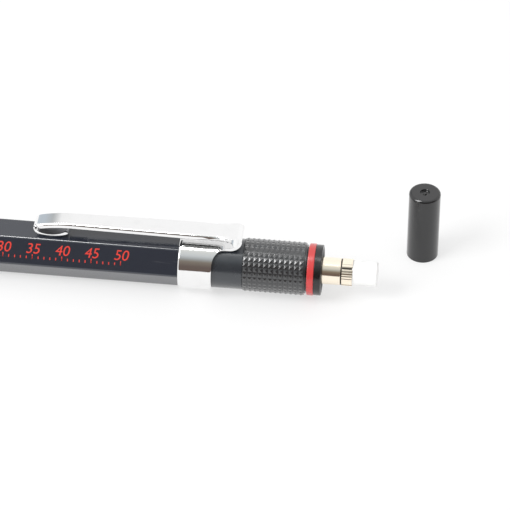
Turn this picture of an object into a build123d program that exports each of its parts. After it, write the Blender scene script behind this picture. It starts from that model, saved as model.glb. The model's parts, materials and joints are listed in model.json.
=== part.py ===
from build123d import *
from math import cos, radians, sin
import os

# A push-button mechanical pencil with a hexagonal barrel, in millimetres.
# The origin is the front end of the lead sleeve, on the pencil's axis.
# +X runs back towards the eraser and +Z points up, to the side of the clip.
# The push cap is off the pencil and stands mouth down beside the eraser.

# ---- Driving dimensions -------------------------------------------------------------------

# Fits: gaps measured on the radius
running_fit = 0.03  # between two pieces that move on each other
seat_gap = 0.02  # between two pieces that are pressed, glued or screwed together
face_gap = 0.05  # between two end faces that meet

# Lead
lead_radius = 0.35
lead_length = 60.0
lead_setback = 0.2  # the lead's end waits this far inside the sleeve
spare_lead_count = 2

# Front end
sleeve_wall = 0.15
sleeve_reach = 4.0  # length of sleeve in front of the cone
sleeve_seat = 3.0  # length of sleeve inside the cone
sleeve_collar = 0.2  # how far the seated end stands out, to rest on a step in the cone
mouth_wall = 0.1  # thickness of that step: a thin lip around the mouth
cone_length = 10.0
nose_radius = 1.15
cone_knee_share = 0.6  # how far along the cone its taper becomes gentler
cone_bulge = 0.3  # how far the knee stands out from a straight taper
retainer_length = 2.4
retainer_radius = 1.5
cavity_clearance = 0.15  # around the chuck's head, inside the cone

# Chuck and clutch
push_stroke = 3.5
push_reserve = 0.25  # left between chuck and retainer at the full push
clutch_travel = 0.8
chuck_wall = 0.82
chuck_head_wall = 1.5
chuck_head_land = 1.0
chuck_head_length = 3.2
chuck_length = 23.7
jaw_count = 3
jaw_slit = 0.22
jaw_length = 13.0
ring_length = 3.1
ring_wall = 0.45
ring_setback = 1.4  # from the chuck's front to the clutch ring's front

# Spring and its housing
housing_setback = 0.15  # from the clutch ring at rest to the housing
housing_front_wall = 1.0
chuck_passage = 0.09  # around the chuck, in the housing's front wall
housing_wall = 0.4
flange_step = 0.15  # how far the connector's flange stays inside the lead tube's outside
flange_clearance = 0.2  # between the flange and the housing that it slides in
spring_length = 13.1
spring_wire = 0.4
spring_turns = 6
wire_facets = 4  # the wire's section, drawn as a polygon
housing_length = 13.15

# Connector and lead tube
connector_flange = 4.0
connector_spigot = 5.5
funnel_length = 2.0  # funnel that leads the spare leads into the chuck
tube_radius = 2.3
tube_wall = 0.37
tube_clearance = 0.3  # between the lead tube and the bores that it passes through

# Grip
grip_length = 30.0
grip_wall = 1.2
grip_spigot = 8.0
grip_spigot_wall = 0.6
grip_bevel = 0.3
grip_rear_bevel = 0.1
groove_pitch = 5.4
groove_width = 1.6
groove_depth = 0.3
groove_margin = 4.2  # plain length at each end of the grip

# Barrel
hex_length = 65.5
barrel_wall = 0.43  # left between a flat and the rear counterbore
barrel_bore_clearance = 0.75  # between the lead tube and the barrel's bore
corner_round = 0.45
front_bevel = 1.1
seat_length = 5.6  # round seat under the clip's band
rear_socket = 10.5  # length of the window sleeve's spigot

# Push cap and the recess that it slides in
cap_wall = 0.36
cap_height = 13.4
cap_roof = 0.9
cap_edge = 0.45
cap_dimple_radius = 0.83
cap_dimple_depth = 0.35
cap_nub_radius = 0.3
cap_nub_height = 0.17
cap_place = (149.75, 12.2)  # where the cap stands, measured along and across the pencil
recess_gap = 0.24

# Guide tube, grade scale and window sleeve
guide_wall = 0.28
scale_wall = 0.45
scale_end_gap = 0.1  # between the scale and the red ring
neck_wall = 0.56
neck_length = 5.25
web_thickness = 0.6
socket_step = 0.12  # how far the barrel's socket stays inside the scale's outside
window_length = 2.6
window_width = 2.4
window_corner = 0.4

# Grade ring, red ring and end ring
knurl_height = 0.22
grade_ring_length = 10.3
shadow_gap = 0.3  # open joint behind the grade ring
red_ring_width = 1.5
red_ring_wall = 0.5
red_ring_proud = 0.12
end_lip = 1.0
end_lip_depth = 0.6
end_bevel = 0.25

# Eraser and its holder
eraser_radius = 2.1
eraser_length = 8.1
eraser_showing = 4.2
eraser_edge = 0.35
holder_reach = 5.15  # from the end ring to the crown's rim
crown_length = 1.75
neck_groove = 0.25
neck_groove_depth = 0.1
holder_spigot = 4.5
holder_floor = 0.75  # wall between the eraser and the hollow spigot
holder_seam_setback = 1.6  # from the end ring's face in to the joint of holder and tube
crown_flutes = 24
flute_depth = 0.08
crown_slots = 4
crown_slot_width = 0.25

# Pocket clip
sheet = 0.5
band_width = 5.7
clip_rise = 2.27  # from the top of the band to the top of the arm
clip_length = 35.4  # from the tip to the back of the fold
arm_width_front = 3.2
arm_width_rear = 4.15
arm_tip_round = 1.2
arm_rim_depth = 0.3
arm_rim_width = 0.5
fold_reach = 4.95  # from the band's rear edge to the back of the fold
fold_angle = 80.0  # how far the tongue turns up before the tight bend
crest_radius = 0.5  # tight bend, measured on the middle of the sheet
tongue_fillet = 1.8
droop_angle = 14.0
droop_radius = 24.0
curl_entry = 25.0
curl_exit = 46.0
curl_radius = 5.1
clip_touch = 0.08  # between the curl and the barrel's top flat

# ---- Radii, worked out from the inside to the outside -------------------------------------

sleeve_bore = lead_radius + running_fit
sleeve_radius = sleeve_bore + sleeve_wall
sleeve_collar_radius = sleeve_radius + sleeve_collar
chuck_radius = sleeve_bore + chuck_wall
chuck_head_radius = sleeve_bore + chuck_head_wall
clutch_radius = chuck_head_radius + ring_wall
flange_radius = tube_radius - flange_step
housing_bore = flange_radius + flange_clearance
housing_radius = housing_bore + housing_wall
grip_bore = housing_radius + seat_gap
cone_cavity = chuck_head_radius + cavity_clearance
cone_spigot_bore = clutch_radius + running_fit
cone_spigot_radius = grip_bore - seat_gap
grip_radius = grip_bore + grip_wall
cone_rear_radius = grip_radius - grip_bevel
cone_knee_radius = nose_radius + cone_knee_share * (cone_rear_radius - nose_radius) + cone_bulge

tube_bore = tube_radius - tube_wall
connector_radius = tube_bore - seat_gap
passage_radius = tube_radius + tube_clearance
grip_spigot_radius = passage_radius + grip_spigot_wall
barrel_bore = tube_radius + barrel_bore_clearance

cap_bore = tube_radius + running_fit
cap_radius = cap_bore + cap_wall
guide_bore = cap_radius + recess_gap
guide_radius = guide_bore + guide_wall
scale_bore = guide_radius + running_fit
scale_radius = scale_bore + scale_wall
neck_bore = scale_radius + running_fit
neck_radius = neck_bore + neck_wall
socket_spigot_bore = guide_radius + seat_gap
socket_radius = scale_radius - socket_step
socket_spigot_radius = socket_radius - seat_gap
flat_height = socket_radius + barrel_wall
seat_radius = neck_radius + running_fit
band_bore = seat_radius + seat_gap
band_radius = band_bore + sheet
knurl_root = neck_radius
knurl_peak = knurl_root + knurl_height
red_ring_bore = neck_radius - red_ring_wall
red_ring_radius = neck_radius + red_ring_proud
holder_spigot_radius = tube_bore - running_fit
eraser_bore = eraser_radius + seat_gap

# ---- Stations along the axis, from front to rear ------------------------------------------

cone_front = sleeve_reach
collar_front = cone_front + mouth_wall + face_gap
sleeve_rear = cone_front + sleeve_seat
retainer_front = sleeve_rear + face_gap
retainer_rear = retainer_front + retainer_length
cone_rear = cone_front + cone_length
cone_knee = cone_front + cone_knee_share * cone_length
chuck_front = retainer_rear + push_stroke + push_reserve
chuck_rear = chuck_front + chuck_length
clutch_front = chuck_front + ring_setback
clutch_rear = clutch_front + ring_length
clutch_stop = clutch_front - clutch_travel - face_gap
housing_front = clutch_rear + housing_setback
cone_spigot_rear = housing_front - face_gap
spring_front = housing_front + housing_front_wall + face_gap
spring_rear = spring_front + spring_length
housing_rear = housing_front + housing_length
connector_front = spring_rear + face_gap
flange_rear = connector_front + connector_flange
tube_front = flange_rear + face_gap
connector_rear = flange_rear + connector_spigot

grip_front = cone_rear + face_gap
grip_rear = grip_front + grip_length
grip_spigot_rear = grip_rear + grip_spigot
hex_front = grip_rear + face_gap
hex_rear = hex_front + hex_length
band_front = hex_rear + face_gap
band_rear = band_front + band_width
barrel_rear = hex_rear + seat_length
neck_front = barrel_rear + face_gap
neck_rear = neck_front + neck_length
spigot_front = barrel_rear - rear_socket
grade_front = neck_rear + face_gap
grade_rear = grade_front + grade_ring_length
red_front = grade_rear + shadow_gap
red_rear = red_front + red_ring_width
end_rear = red_rear + face_gap + end_lip
guide_rear = end_rear - end_lip_depth - face_gap
scale_front = neck_front + web_thickness + face_gap
scale_rear = red_front - scale_end_gap
crown_rear = end_rear + holder_reach
crown_front = crown_rear - crown_length
holder_front = end_rear - holder_seam_setback
tube_rear = holder_front - face_gap
eraser_rear = crown_rear + eraser_showing
eraser_front = eraser_rear - eraser_length
fold_rear = band_rear + fold_reach
clip_front = fold_rear - clip_length


# ---- Shared profiles ----------------------------------------------------------------------


def turned(start, end, inner, outer, mode=Mode.ADD):
    """Half section of a turned length: a rectangle between two stations and two radii."""
    with Locations(((start + end) / 2, (inner + outer) / 2)):
        Rectangle(end - start, outer - inner, mode=mode)


def tapered(*corners, mode=Mode.ADD):
    """Half section with sloping sides, from its (station, radius) corners."""
    Polygon(*corners, align=None, mode=mode)


# ---- Lead and front end -------------------------------------------------------------------

with BuildPart() as lead:
    with BuildSketch(Plane.YZ.offset(lead_setback)):
        Circle(lead_radius)
    extrude(amount=lead_length)

with BuildPart() as lead_sleeve:
    with BuildSketch(Plane.XZ):
        turned(0, sleeve_rear, sleeve_bore, sleeve_radius)
        turned(collar_front, sleeve_rear, sleeve_bore, sleeve_collar_radius)
    revolve(axis=Axis.X)
    chamfer(lead_sleeve.faces().sort_by(Axis.X)[0].outer_wire().edges(), sleeve_wall / 3)

with BuildPart() as lead_retainer:
    with BuildSketch(Plane.XZ):
        turned(retainer_front, retainer_rear, sleeve_bore, retainer_radius)
    revolve(axis=Axis.X)

with BuildPart() as tip_cone:
    with BuildSketch(Plane.XZ):
        tapered(
            (cone_front, 0),
            (cone_front, nose_radius),
            (cone_knee, cone_knee_radius),
            (cone_rear, cone_rear_radius),
            (cone_rear, 0),
        )
        turned(cone_rear, cone_spigot_rear, 0, cone_spigot_radius)
        turned(cone_front, cone_front + mouth_wall, 0, sleeve_radius + seat_gap, mode=Mode.SUBTRACT)
        turned(
            cone_front + mouth_wall,
            sleeve_rear,
            0,
            sleeve_collar_radius + seat_gap,
            mode=Mode.SUBTRACT,
        )
        turned(sleeve_rear, retainer_rear, 0, retainer_radius + seat_gap, mode=Mode.SUBTRACT)
        turned(retainer_rear, clutch_stop, 0, cone_cavity, mode=Mode.SUBTRACT)
        turned(clutch_stop, cone_spigot_rear, 0, cone_spigot_bore, mode=Mode.SUBTRACT)
    revolve(axis=Axis.X)

with BuildPart() as front_grip:
    groove_room = grip_length - 2 * groove_margin
    groove_count = int(groove_room / groove_pitch) + 1
    with BuildSketch(Plane.XZ):
        turned(grip_front, grip_rear, 0, grip_radius)
        turned(grip_rear, grip_spigot_rear, 0, grip_spigot_radius)
        turned(grip_front, housing_rear, 0, grip_bore, mode=Mode.SUBTRACT)
        turned(housing_rear, grip_spigot_rear, 0, passage_radius, mode=Mode.SUBTRACT)
        for groove in range(groove_count):
            station = grip_front + groove_margin + groove * groove_pitch
            with Locations((station, grip_radius)):
                Rectangle(groove_width, 2 * groove_depth, mode=Mode.SUBTRACT)
    revolve(axis=Axis.X)
    outside = front_grip.edges().filter_by(GeomType.CIRCLE).group_by(SortBy.RADIUS)[-1]
    chamfer(outside.sort_by(Axis.X)[0], grip_bevel)
    chamfer(outside.sort_by(Axis.X)[-1], grip_rear_bevel)

# ---- Chuck, clutch ring, housing and spring -----------------------------------------------

taper_start = chuck_front + chuck_head_land
taper_rear = chuck_front + chuck_head_length
head_slope = (chuck_head_radius - chuck_radius) / (taper_rear - taper_start)
clutch_entry = chuck_head_radius - head_slope * (clutch_front - taper_start) + running_fit
clutch_bore = chuck_radius + running_fit

with BuildPart() as chuck:
    with BuildSketch(Plane.XZ):
        tapered(
            (chuck_front, 0),
            (chuck_front, chuck_head_radius - chuck_head_land / 2),
            (chuck_front + chuck_head_land / 2, chuck_head_radius),
            (taper_start, chuck_head_radius),
            (taper_rear, chuck_radius),
            (chuck_rear, chuck_radius),
            (chuck_rear, 0),
        )
        turned(chuck_front, chuck_rear, 0, sleeve_bore, mode=Mode.SUBTRACT)
    revolve(axis=Axis.X)
    with BuildSketch(Plane.YZ.offset(chuck_front)):
        with PolarLocations(chuck_head_radius / 2, jaw_count):
            Rectangle(chuck_head_radius + jaw_slit, jaw_slit)
    extrude(amount=jaw_length, mode=Mode.SUBTRACT)

with BuildPart() as clutch_ring:
    with BuildSketch(Plane.XZ):
        tapered(
            (clutch_front, clutch_entry),
            (clutch_front, clutch_radius),
            (clutch_rear, clutch_radius),
            (clutch_rear, clutch_bore),
            (taper_rear, clutch_bore),
        )
    revolve(axis=Axis.X)

with BuildPart() as chuck_housing:
    with BuildSketch(Plane.XZ):
        turned(housing_front, housing_rear, housing_bore, housing_radius)
        turned(housing_front, spring_front - face_gap, chuck_radius + chuck_passage, housing_bore)
    revolve(axis=Axis.X)

with BuildPart() as return_spring:
    coil_radius = (chuck_radius + housing_bore) / 2 + running_fit
    coil_height = spring_length - spring_wire
    with BuildLine() as coil:
        Helix(
            coil_height / spring_turns,
            coil_height,
            coil_radius,
            center=(spring_front + spring_wire / 2, 0, 0),
            direction=(1, 0, 0),
        )
    with BuildSketch(Plane(coil.line @ 0, z_dir=coil.line % 0)):
        RegularPolygon(spring_wire / 2, wire_facets)
    sweep(path=coil.line, is_frenet=True)

# ---- Connector and lead tube --------------------------------------------------------------

with BuildPart() as chuck_connector:
    socket_rear = chuck_rear + face_gap
    funnel_front = connector_rear - funnel_length
    funnel_radius = connector_radius - sleeve_wall
    with BuildSketch(Plane.XZ):
        turned(connector_front, flange_rear, 0, flange_radius)
        turned(flange_rear, connector_rear, 0, connector_radius)
        turned(connector_front, socket_rear, 0, chuck_radius + seat_gap, mode=Mode.SUBTRACT)
        turned(socket_rear, connector_rear, 0, sleeve_radius, mode=Mode.SUBTRACT)
        tapered(
            (funnel_front, 0),
            (funnel_front, sleeve_radius),
            (connector_rear, funnel_radius),
            (connector_rear, 0),
            mode=Mode.SUBTRACT,
        )
    revolve(axis=Axis.X)

with BuildPart() as lead_tube:
    with BuildSketch(Plane.XZ):
        turned(tube_front, tube_rear, tube_bore, tube_radius)
    revolve(axis=Axis.X)

with BuildPart() as spare_leads:
    # They lie side by side on the floor of the lead tube.
    spare_spacing = lead_radius + running_fit
    spare_drop = ((tube_bore - spare_spacing) ** 2 - spare_spacing**2) ** 0.5
    for spare in range(spare_lead_count):
        across = (2 * spare - spare_lead_count + 1) * spare_spacing
        with BuildSketch(Plane.YZ.offset(connector_rear + lead_length / 4)):
            with Locations((across, -spare_drop)):
                Circle(lead_radius)
        extrude(amount=lead_length)

# ---- Barrel -------------------------------------------------------------------------------

with BuildPart() as barrel:
    with BuildSketch(Plane.YZ.offset(hex_front)):
        RegularPolygon(flat_height, 6, major_radius=False)
    extrude(amount=hex_length)
    fillet(barrel.edges().filter_by(Axis.X), corner_round)
    with BuildSketch(Plane.XZ):
        corner = flat_height / cos(radians(30))
        tapered(
            (hex_front, corner - front_bevel / 2),
            (hex_front, corner + front_bevel),
            (hex_front + front_bevel, corner + front_bevel),
            (hex_front + front_bevel, corner),
        )
    revolve(axis=Axis.X, mode=Mode.SUBTRACT)
    with BuildSketch(Plane.XZ):
        turned(hex_rear, barrel_rear, 0, seat_radius)
    revolve(axis=Axis.X)
    with BuildSketch(Plane.XZ):
        turned(hex_front, grip_spigot_rear + face_gap, 0, grip_spigot_radius + seat_gap)
        turned(hex_front, barrel_rear, 0, barrel_bore)
        turned(spigot_front - face_gap, barrel_rear, 0, socket_radius)
    revolve(axis=Axis.X, mode=Mode.SUBTRACT)

# ---- Rear end: window sleeve, guide tube, grade scale and rings ---------------------------

with BuildPart() as window_sleeve:
    with BuildSketch(Plane.XZ):
        turned(spigot_front, neck_front, socket_spigot_bore, socket_spigot_radius)
        turned(neck_front, neck_front + web_thickness, socket_spigot_bore, neck_radius)
        turned(neck_front, neck_rear, neck_bore, neck_radius)
    revolve(axis=Axis.X)
    window_middle = (scale_front + neck_rear) / 2
    with BuildSketch(Plane.XZ.offset(-neck_radius)):
        with Locations((window_middle, 0)):
            RectangleRounded(window_length, window_width, window_corner)
    extrude(amount=neck_radius, mode=Mode.SUBTRACT)

with BuildPart() as guide_tube:
    with BuildSketch(Plane.XZ):
        turned(spigot_front, guide_rear, guide_bore, guide_radius)
    revolve(axis=Axis.X)

with BuildPart() as grade_scale:
    with BuildSketch(Plane.XZ):
        turned(scale_front, scale_rear, scale_bore, scale_radius)
    revolve(axis=Axis.X)

with BuildPart() as grade_ring:
    with BuildSketch(Plane.XZ):
        turned(grade_front, grade_rear, scale_radius + seat_gap, knurl_peak)
    revolve(axis=Axis.X)
    rims = grade_ring.edges().filter_by(GeomType.CIRCLE).group_by(SortBy.RADIUS)[-1]
    chamfer(rims, knurl_height)

with BuildPart() as red_ring:
    with BuildSketch(Plane.XZ):
        turned(red_front, red_rear, red_ring_bore, red_ring_radius)
    revolve(axis=Axis.X)
    rims = red_ring.edges().filter_by(GeomType.CIRCLE).group_by(SortBy.RADIUS)[-1]
    chamfer(rims, red_ring_proud)

with BuildPart() as end_ring:
    with BuildSketch(Plane.XZ):
        turned(red_front, end_rear, guide_radius + seat_gap, red_ring_bore - seat_gap)
        turned(red_rear + face_gap, end_rear, guide_radius + seat_gap, neck_radius)
        turned(guide_rear + face_gap, end_rear, guide_bore, neck_radius)
    revolve(axis=Axis.X)
    chamfer(end_ring.faces().sort_by(Axis.X)[-1].outer_wire().edges(), end_bevel)

# ---- Eraser and its holder ----------------------------------------------------------------

with BuildPart() as eraser_holder:
    with BuildSketch(Plane.XZ):
        turned(holder_front - holder_spigot, holder_front, 0, holder_spigot_radius)
        turned(holder_front, crown_rear, 0, tube_radius)
        turned(
            crown_front - neck_groove,
            crown_front,
            tube_radius - neck_groove_depth,
            tube_radius,
            mode=Mode.SUBTRACT,
        )
        turned(eraser_front - face_gap, crown_rear, 0, eraser_bore, mode=Mode.SUBTRACT)
        turned(
            holder_front - holder_spigot,
            eraser_front - holder_floor,
            0,
            holder_spigot_radius - tube_wall,
            mode=Mode.SUBTRACT,
        )
    revolve(axis=Axis.X)
    with BuildSketch(Plane.YZ.offset(crown_front)):
        with PolarLocations(tube_radius, crown_flutes):
            Rectangle(flute_depth * 2**0.5, flute_depth * 2**0.5, rotation=45)
        with PolarLocations(tube_radius, crown_slots, start_angle=180 / crown_slots):
            Rectangle(2 * (tube_radius - eraser_bore) + flute_depth, crown_slot_width)
    extrude(amount=crown_length, mode=Mode.SUBTRACT)

with BuildPart() as eraser:
    with BuildSketch(Plane.YZ.offset(eraser_front)):
        Circle(eraser_radius)
    extrude(amount=eraser_length)
    chamfer(eraser.faces().sort_by(Axis.X)[-1].edges(), eraser_edge)

# ---- Push cap, standing on the surface that the band rests on -----------------------------

with BuildPart() as push_cap:
    foot = Plane((*cap_place, -band_radius), x_dir=(1, 0, 0), z_dir=(0, -1, 0))
    with BuildSketch(foot):
        with Locations((cap_radius / 2, cap_height / 2)):
            Rectangle(cap_radius, cap_height)
        with Locations((cap_bore / 2, (cap_height - cap_roof) / 2)):
            Rectangle(cap_bore, cap_height - cap_roof, mode=Mode.SUBTRACT)
        with Locations((cap_dimple_radius / 2, cap_height - cap_dimple_depth / 2)):
            Rectangle(cap_dimple_radius, cap_dimple_depth, mode=Mode.SUBTRACT)
        with Locations((cap_nub_radius / 2, cap_height - cap_dimple_depth + cap_nub_height / 2)):
            Rectangle(cap_nub_radius, cap_nub_height)
    revolve(axis=Axis((*cap_place, 0), (0, 0, 1)))
    top = push_cap.faces().sort_by(Axis.Z)[-1]
    fillet(top.outer_wire().edges(), cap_edge)

# ---- Pocket clip: one bent sheet ----------------------------------------------------------

arm_middle = band_radius + clip_rise - sheet / 2
arm_underside = arm_middle - sheet / 2
tongue_middle = band_radius - sheet / 2
rise_radius = (arm_middle - tongue_middle - crest_radius * (1 + cos(radians(fold_angle)))) / (
    1 - cos(radians(fold_angle))
)
rise_start = (
    fold_rear
    - sheet / 2
    - crest_radius * (1 - sin(radians(fold_angle)))
    - rise_radius * sin(radians(fold_angle))
)
curl_drop = arm_middle - (flat_height + clip_touch + sheet / 2)
nose_bend = (
    curl_drop
    - droop_radius * (1 - cos(radians(droop_angle)))
    - curl_radius * (1 - cos(radians(curl_entry)))
) / (cos(radians(droop_angle)) + cos(radians(curl_entry)))
droop_start = (
    clip_front
    + sheet / 2
    + nose_bend * (1 - sin(radians(droop_angle)))
    + droop_radius * sin(radians(droop_angle))
)

with BuildPart() as tongue_root:
    # Where the tongue leaves the band: round like the band, with a fillet on each side
    with BuildSketch(Plane.XZ):
        turned(band_rear, band_rear + tongue_fillet, band_bore, band_radius)
    revolve(axis=Axis.X)
    with BuildSketch(Plane.XY):
        with Locations((band_rear + tongue_fillet / 2, 0)):
            Rectangle(tongue_fillet, arm_width_rear + 2 * tongue_fillet)
        for side in (-1, 1):
            with Locations((band_rear + tongue_fillet, side * (arm_width_rear / 2 + tongue_fillet))):
                Circle(tongue_fillet, mode=Mode.SUBTRACT)
    extrude(amount=band_radius, mode=Mode.INTERSECT)

with BuildPart() as pocket_clip:
    # Side view of the sheet: tongue, fold, arm, nose and curl, in one run of tangent arcs
    with BuildSketch(Plane.XZ):
        with BuildLine() as run:
            rise = JernArc((rise_start, tongue_middle), (1, 0), rise_radius, fold_angle)
            crest = JernArc(rise @ 1, rise % 1, crest_radius, 180 - fold_angle)
            arm = Line(crest @ 1, (droop_start, arm_middle))
            droop = JernArc(arm @ 1, arm % 1, droop_radius, droop_angle)
            bend = JernArc(droop @ 1, droop % 1, nose_bend, 180 - droop_angle - curl_entry)
            JernArc(bend @ 1, bend % 1, curl_radius, curl_entry + curl_exit)
        trace(line_width=sheet)
    extrude(amount=arm_width_rear, both=True)
    # Rims turned down along both long edges of the arm
    with BuildSketch(Plane.XZ):
        with Locations(((droop_start + rise_start) / 2, arm_underside - arm_rim_depth / 2)):
            Rectangle(rise_start - droop_start, arm_rim_depth)
    extrude(amount=arm_width_rear, both=True)
    # Plan outline of the arm, narrowing to a rounded tip
    with BuildSketch() as plan:
        with BuildLine():
            Polyline(
                (clip_front, -arm_width_front / 2),
                (rise_start, -arm_width_rear / 2),
                (fold_rear, -arm_width_rear / 2),
                (fold_rear, arm_width_rear / 2),
                (rise_start, arm_width_rear / 2),
                (clip_front, arm_width_front / 2),
                close=True,
            )
        make_face()
        fillet(plan.vertices().group_by(Axis.X)[0], arm_tip_round)
        fillet(plan.vertices().group_by(Axis.X)[-1], sheet)
    extrude(amount=2 * band_radius, mode=Mode.INTERSECT)
    with BuildSketch(Plane.XY.offset(arm_underside)):
        add(plan.sketch)
        offset(amount=-arm_rim_width)
        with Locations(((droop_start + rise_start) / 2, 0)):
            Rectangle(rise_start - droop_start, arm_width_rear, mode=Mode.INTERSECT)
    extrude(amount=-arm_rim_depth, mode=Mode.SUBTRACT)
    # The tongue passes from the band's roundness to the flat sheet of the fold
    with BuildSketch(Plane.YZ.offset(band_rear + tongue_fillet)):
        Circle(band_radius)
        Circle(band_bore, mode=Mode.SUBTRACT)
        with Locations((0, band_radius)):
            Rectangle(arm_width_rear, 2 * band_radius, mode=Mode.INTERSECT)
    with BuildSketch(Plane.YZ.offset(rise_start)):
        with Locations((0, tongue_middle)):
            Rectangle(arm_width_rear, sheet)
    loft()
    with BuildSketch(Plane.XZ):
        turned(band_front, band_rear, band_bore, band_radius)
    revolve(axis=Axis.X)
    add(tongue_root.part)

pieces = {
    "lead": lead,
    "lead_sleeve": lead_sleeve,
    "lead_retainer": lead_retainer,
    "tip_cone": tip_cone,
    "front_grip": front_grip,
    "chuck": chuck,
    "clutch_ring": clutch_ring,
    "chuck_housing": chuck_housing,
    "return_spring": return_spring,
    "chuck_connector": chuck_connector,
    "lead_tube": lead_tube,
    "spare_leads": spare_leads,
    "barrel": barrel,
    "window_sleeve": window_sleeve,
    "guide_tube": guide_tube,
    "grade_scale": grade_scale,
    "grade_ring": grade_ring,
    "red_ring": red_ring,
    "end_ring": end_ring,
    "eraser_holder": eraser_holder,
    "eraser": eraser,
    "push_cap": push_cap,
    "pocket_clip": pocket_clip,
}

os.makedirs("parts", exist_ok=True)
for name, piece in pieces.items():
    piece.part.label = name
    export_step(piece.part, f"parts/{name}.step")
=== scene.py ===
# %% [markdown]
# # Dressing a mechanical pencil
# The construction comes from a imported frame: every piece at its real size, in metres, with the
# pencil's axis on X, the clip on top and the push cap standing beside the eraser.
# This script gives each piece its finish. Turned pieces are rebuilt with smooth edges, because
# the frame's own meshes are meant for measuring and are coarse where they are round.

# %% Load the frame
import bmesh
import bpy
import json
from math import asin, atan2, cos, pi, radians, sin, sqrt, tan
from mathutils import Matrix, Vector


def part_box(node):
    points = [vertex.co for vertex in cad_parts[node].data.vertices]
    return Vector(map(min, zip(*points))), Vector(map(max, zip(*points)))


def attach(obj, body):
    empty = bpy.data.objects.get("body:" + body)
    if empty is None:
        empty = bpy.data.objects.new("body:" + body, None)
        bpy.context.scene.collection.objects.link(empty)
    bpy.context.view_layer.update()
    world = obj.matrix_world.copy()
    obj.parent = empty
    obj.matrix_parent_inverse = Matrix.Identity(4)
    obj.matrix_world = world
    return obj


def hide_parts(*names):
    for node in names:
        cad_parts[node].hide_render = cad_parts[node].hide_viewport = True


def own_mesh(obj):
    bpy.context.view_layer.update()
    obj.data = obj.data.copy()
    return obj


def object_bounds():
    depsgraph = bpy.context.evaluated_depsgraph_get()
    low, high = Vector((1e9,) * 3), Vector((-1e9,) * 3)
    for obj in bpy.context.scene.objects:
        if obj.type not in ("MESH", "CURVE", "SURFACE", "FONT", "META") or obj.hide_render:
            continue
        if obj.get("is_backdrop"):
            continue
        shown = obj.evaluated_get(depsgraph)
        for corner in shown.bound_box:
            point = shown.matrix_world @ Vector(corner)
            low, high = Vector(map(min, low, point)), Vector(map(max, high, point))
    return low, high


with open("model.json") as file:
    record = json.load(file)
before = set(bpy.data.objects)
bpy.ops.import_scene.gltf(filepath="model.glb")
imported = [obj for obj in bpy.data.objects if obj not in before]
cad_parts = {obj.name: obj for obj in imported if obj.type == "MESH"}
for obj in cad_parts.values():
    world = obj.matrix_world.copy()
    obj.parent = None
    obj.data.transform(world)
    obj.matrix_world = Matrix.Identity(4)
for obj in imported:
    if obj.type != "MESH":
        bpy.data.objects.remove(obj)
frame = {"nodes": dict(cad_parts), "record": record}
cad_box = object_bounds()
mm = 0.001


# %% Measure the pieces
def measure(node):
    """Front station, rear station and radius of a piece turned round the pencil's axis, in mm."""
    low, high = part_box(node)
    return low.x / mm, high.x / mm, high.z / mm


barrel_front, barrel_rear, seat_radius = measure("barrel")
cone_front, cone_spigot_rear, cone_rear_radius = measure("tip_cone")
grip_front, grip_spigot_rear, grip_radius = measure("front_grip")
clip_front, fold_rear, clip_top = measure("pocket_clip")
band_radius = -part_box("pocket_clip")[0].z / mm
sleeve_front, neck_rear, neck_radius = measure("window_sleeve")
grade_front, grade_rear, knurl_peak = measure("grade_ring")
scale_front, scale_rear, scale_radius = measure("grade_scale")
red_front, red_rear, red_radius = measure("red_ring")
end_rear = measure("end_ring")[1]
guide_front, guide_rear, guide_radius = measure("guide_tube")
tube_front, tube_rear, tube_radius = measure("lead_tube")
holder_front, crown_rear, holder_radius = measure("eraser_holder")
eraser_front, eraser_rear, eraser_radius = measure("eraser")
cap_foot, cap_top = (corner.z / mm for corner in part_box("push_cap"))
mounts = {mount["name"]: mount for mount in frame["record"]["mounts"]}
cap_place = [c / mm for c in mounts["cap_bore"]["pos_m"][:2]]
cap_bore = mounts["cap_bore"]["dims"]["r_mm"]
flat_height = -mounts["barrel_rest"]["pos_m"][2] / mm
print(f"barrel {barrel_front:.2f} to {barrel_rear:.2f}, {2 * flat_height:.2f} across the flats")
print(f"cap bore {2 * cap_bore:.2f}, cap {cap_top - cap_foot:.2f} high")

# %% [markdown]
# ## Camera
# A long lens from well away keeps the pencil's edges nearly parallel. The camera looks down at
# about forty degrees, from the side that carries the print, and its tilt is part of the framing.

# %% Camera
camera_azimuth, camera_elevation, camera_roll = radians(-6.25), radians(40.44), radians(0.41)
camera_distance = 600 * mm
camera_target = Vector((122.0, 2.55, 0.0)) * mm


def camera_axes():
    """The camera's right, up and viewing directions."""
    view = Vector(
        (
            sin(camera_azimuth) * cos(camera_elevation),
            cos(camera_azimuth) * cos(camera_elevation),
            -sin(camera_elevation),
        )
    )
    level = Vector((cos(camera_azimuth), -sin(camera_azimuth), 0))
    upright = level.cross(view)
    right = level * cos(camera_roll) + upright * sin(camera_roll)
    return right, upright * cos(camera_roll) - level * sin(camera_roll), view


lens = bpy.data.cameras.new("camera")
lens.sensor_width = 36
lens.lens = 250.66
camera = bpy.data.objects.new("camera", lens)
bpy.context.scene.collection.objects.link(camera)
right, up, view = camera_axes()
camera.matrix_world = Matrix.Translation(camera_target - view * camera_distance) @ Matrix(
    (right, up, -view)
).transposed().to_4x4()
bpy.context.scene.camera = camera
print("camera at", [round(c, 3) for c in camera.matrix_world.translation])

# %% [markdown]
# ## A small language for node trees
# Materials and Geometry Nodes are both trees of nodes. One method adds any node, and a value that
# comes out of a node can be used in Python expressions, which add the Math nodes they need.


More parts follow.
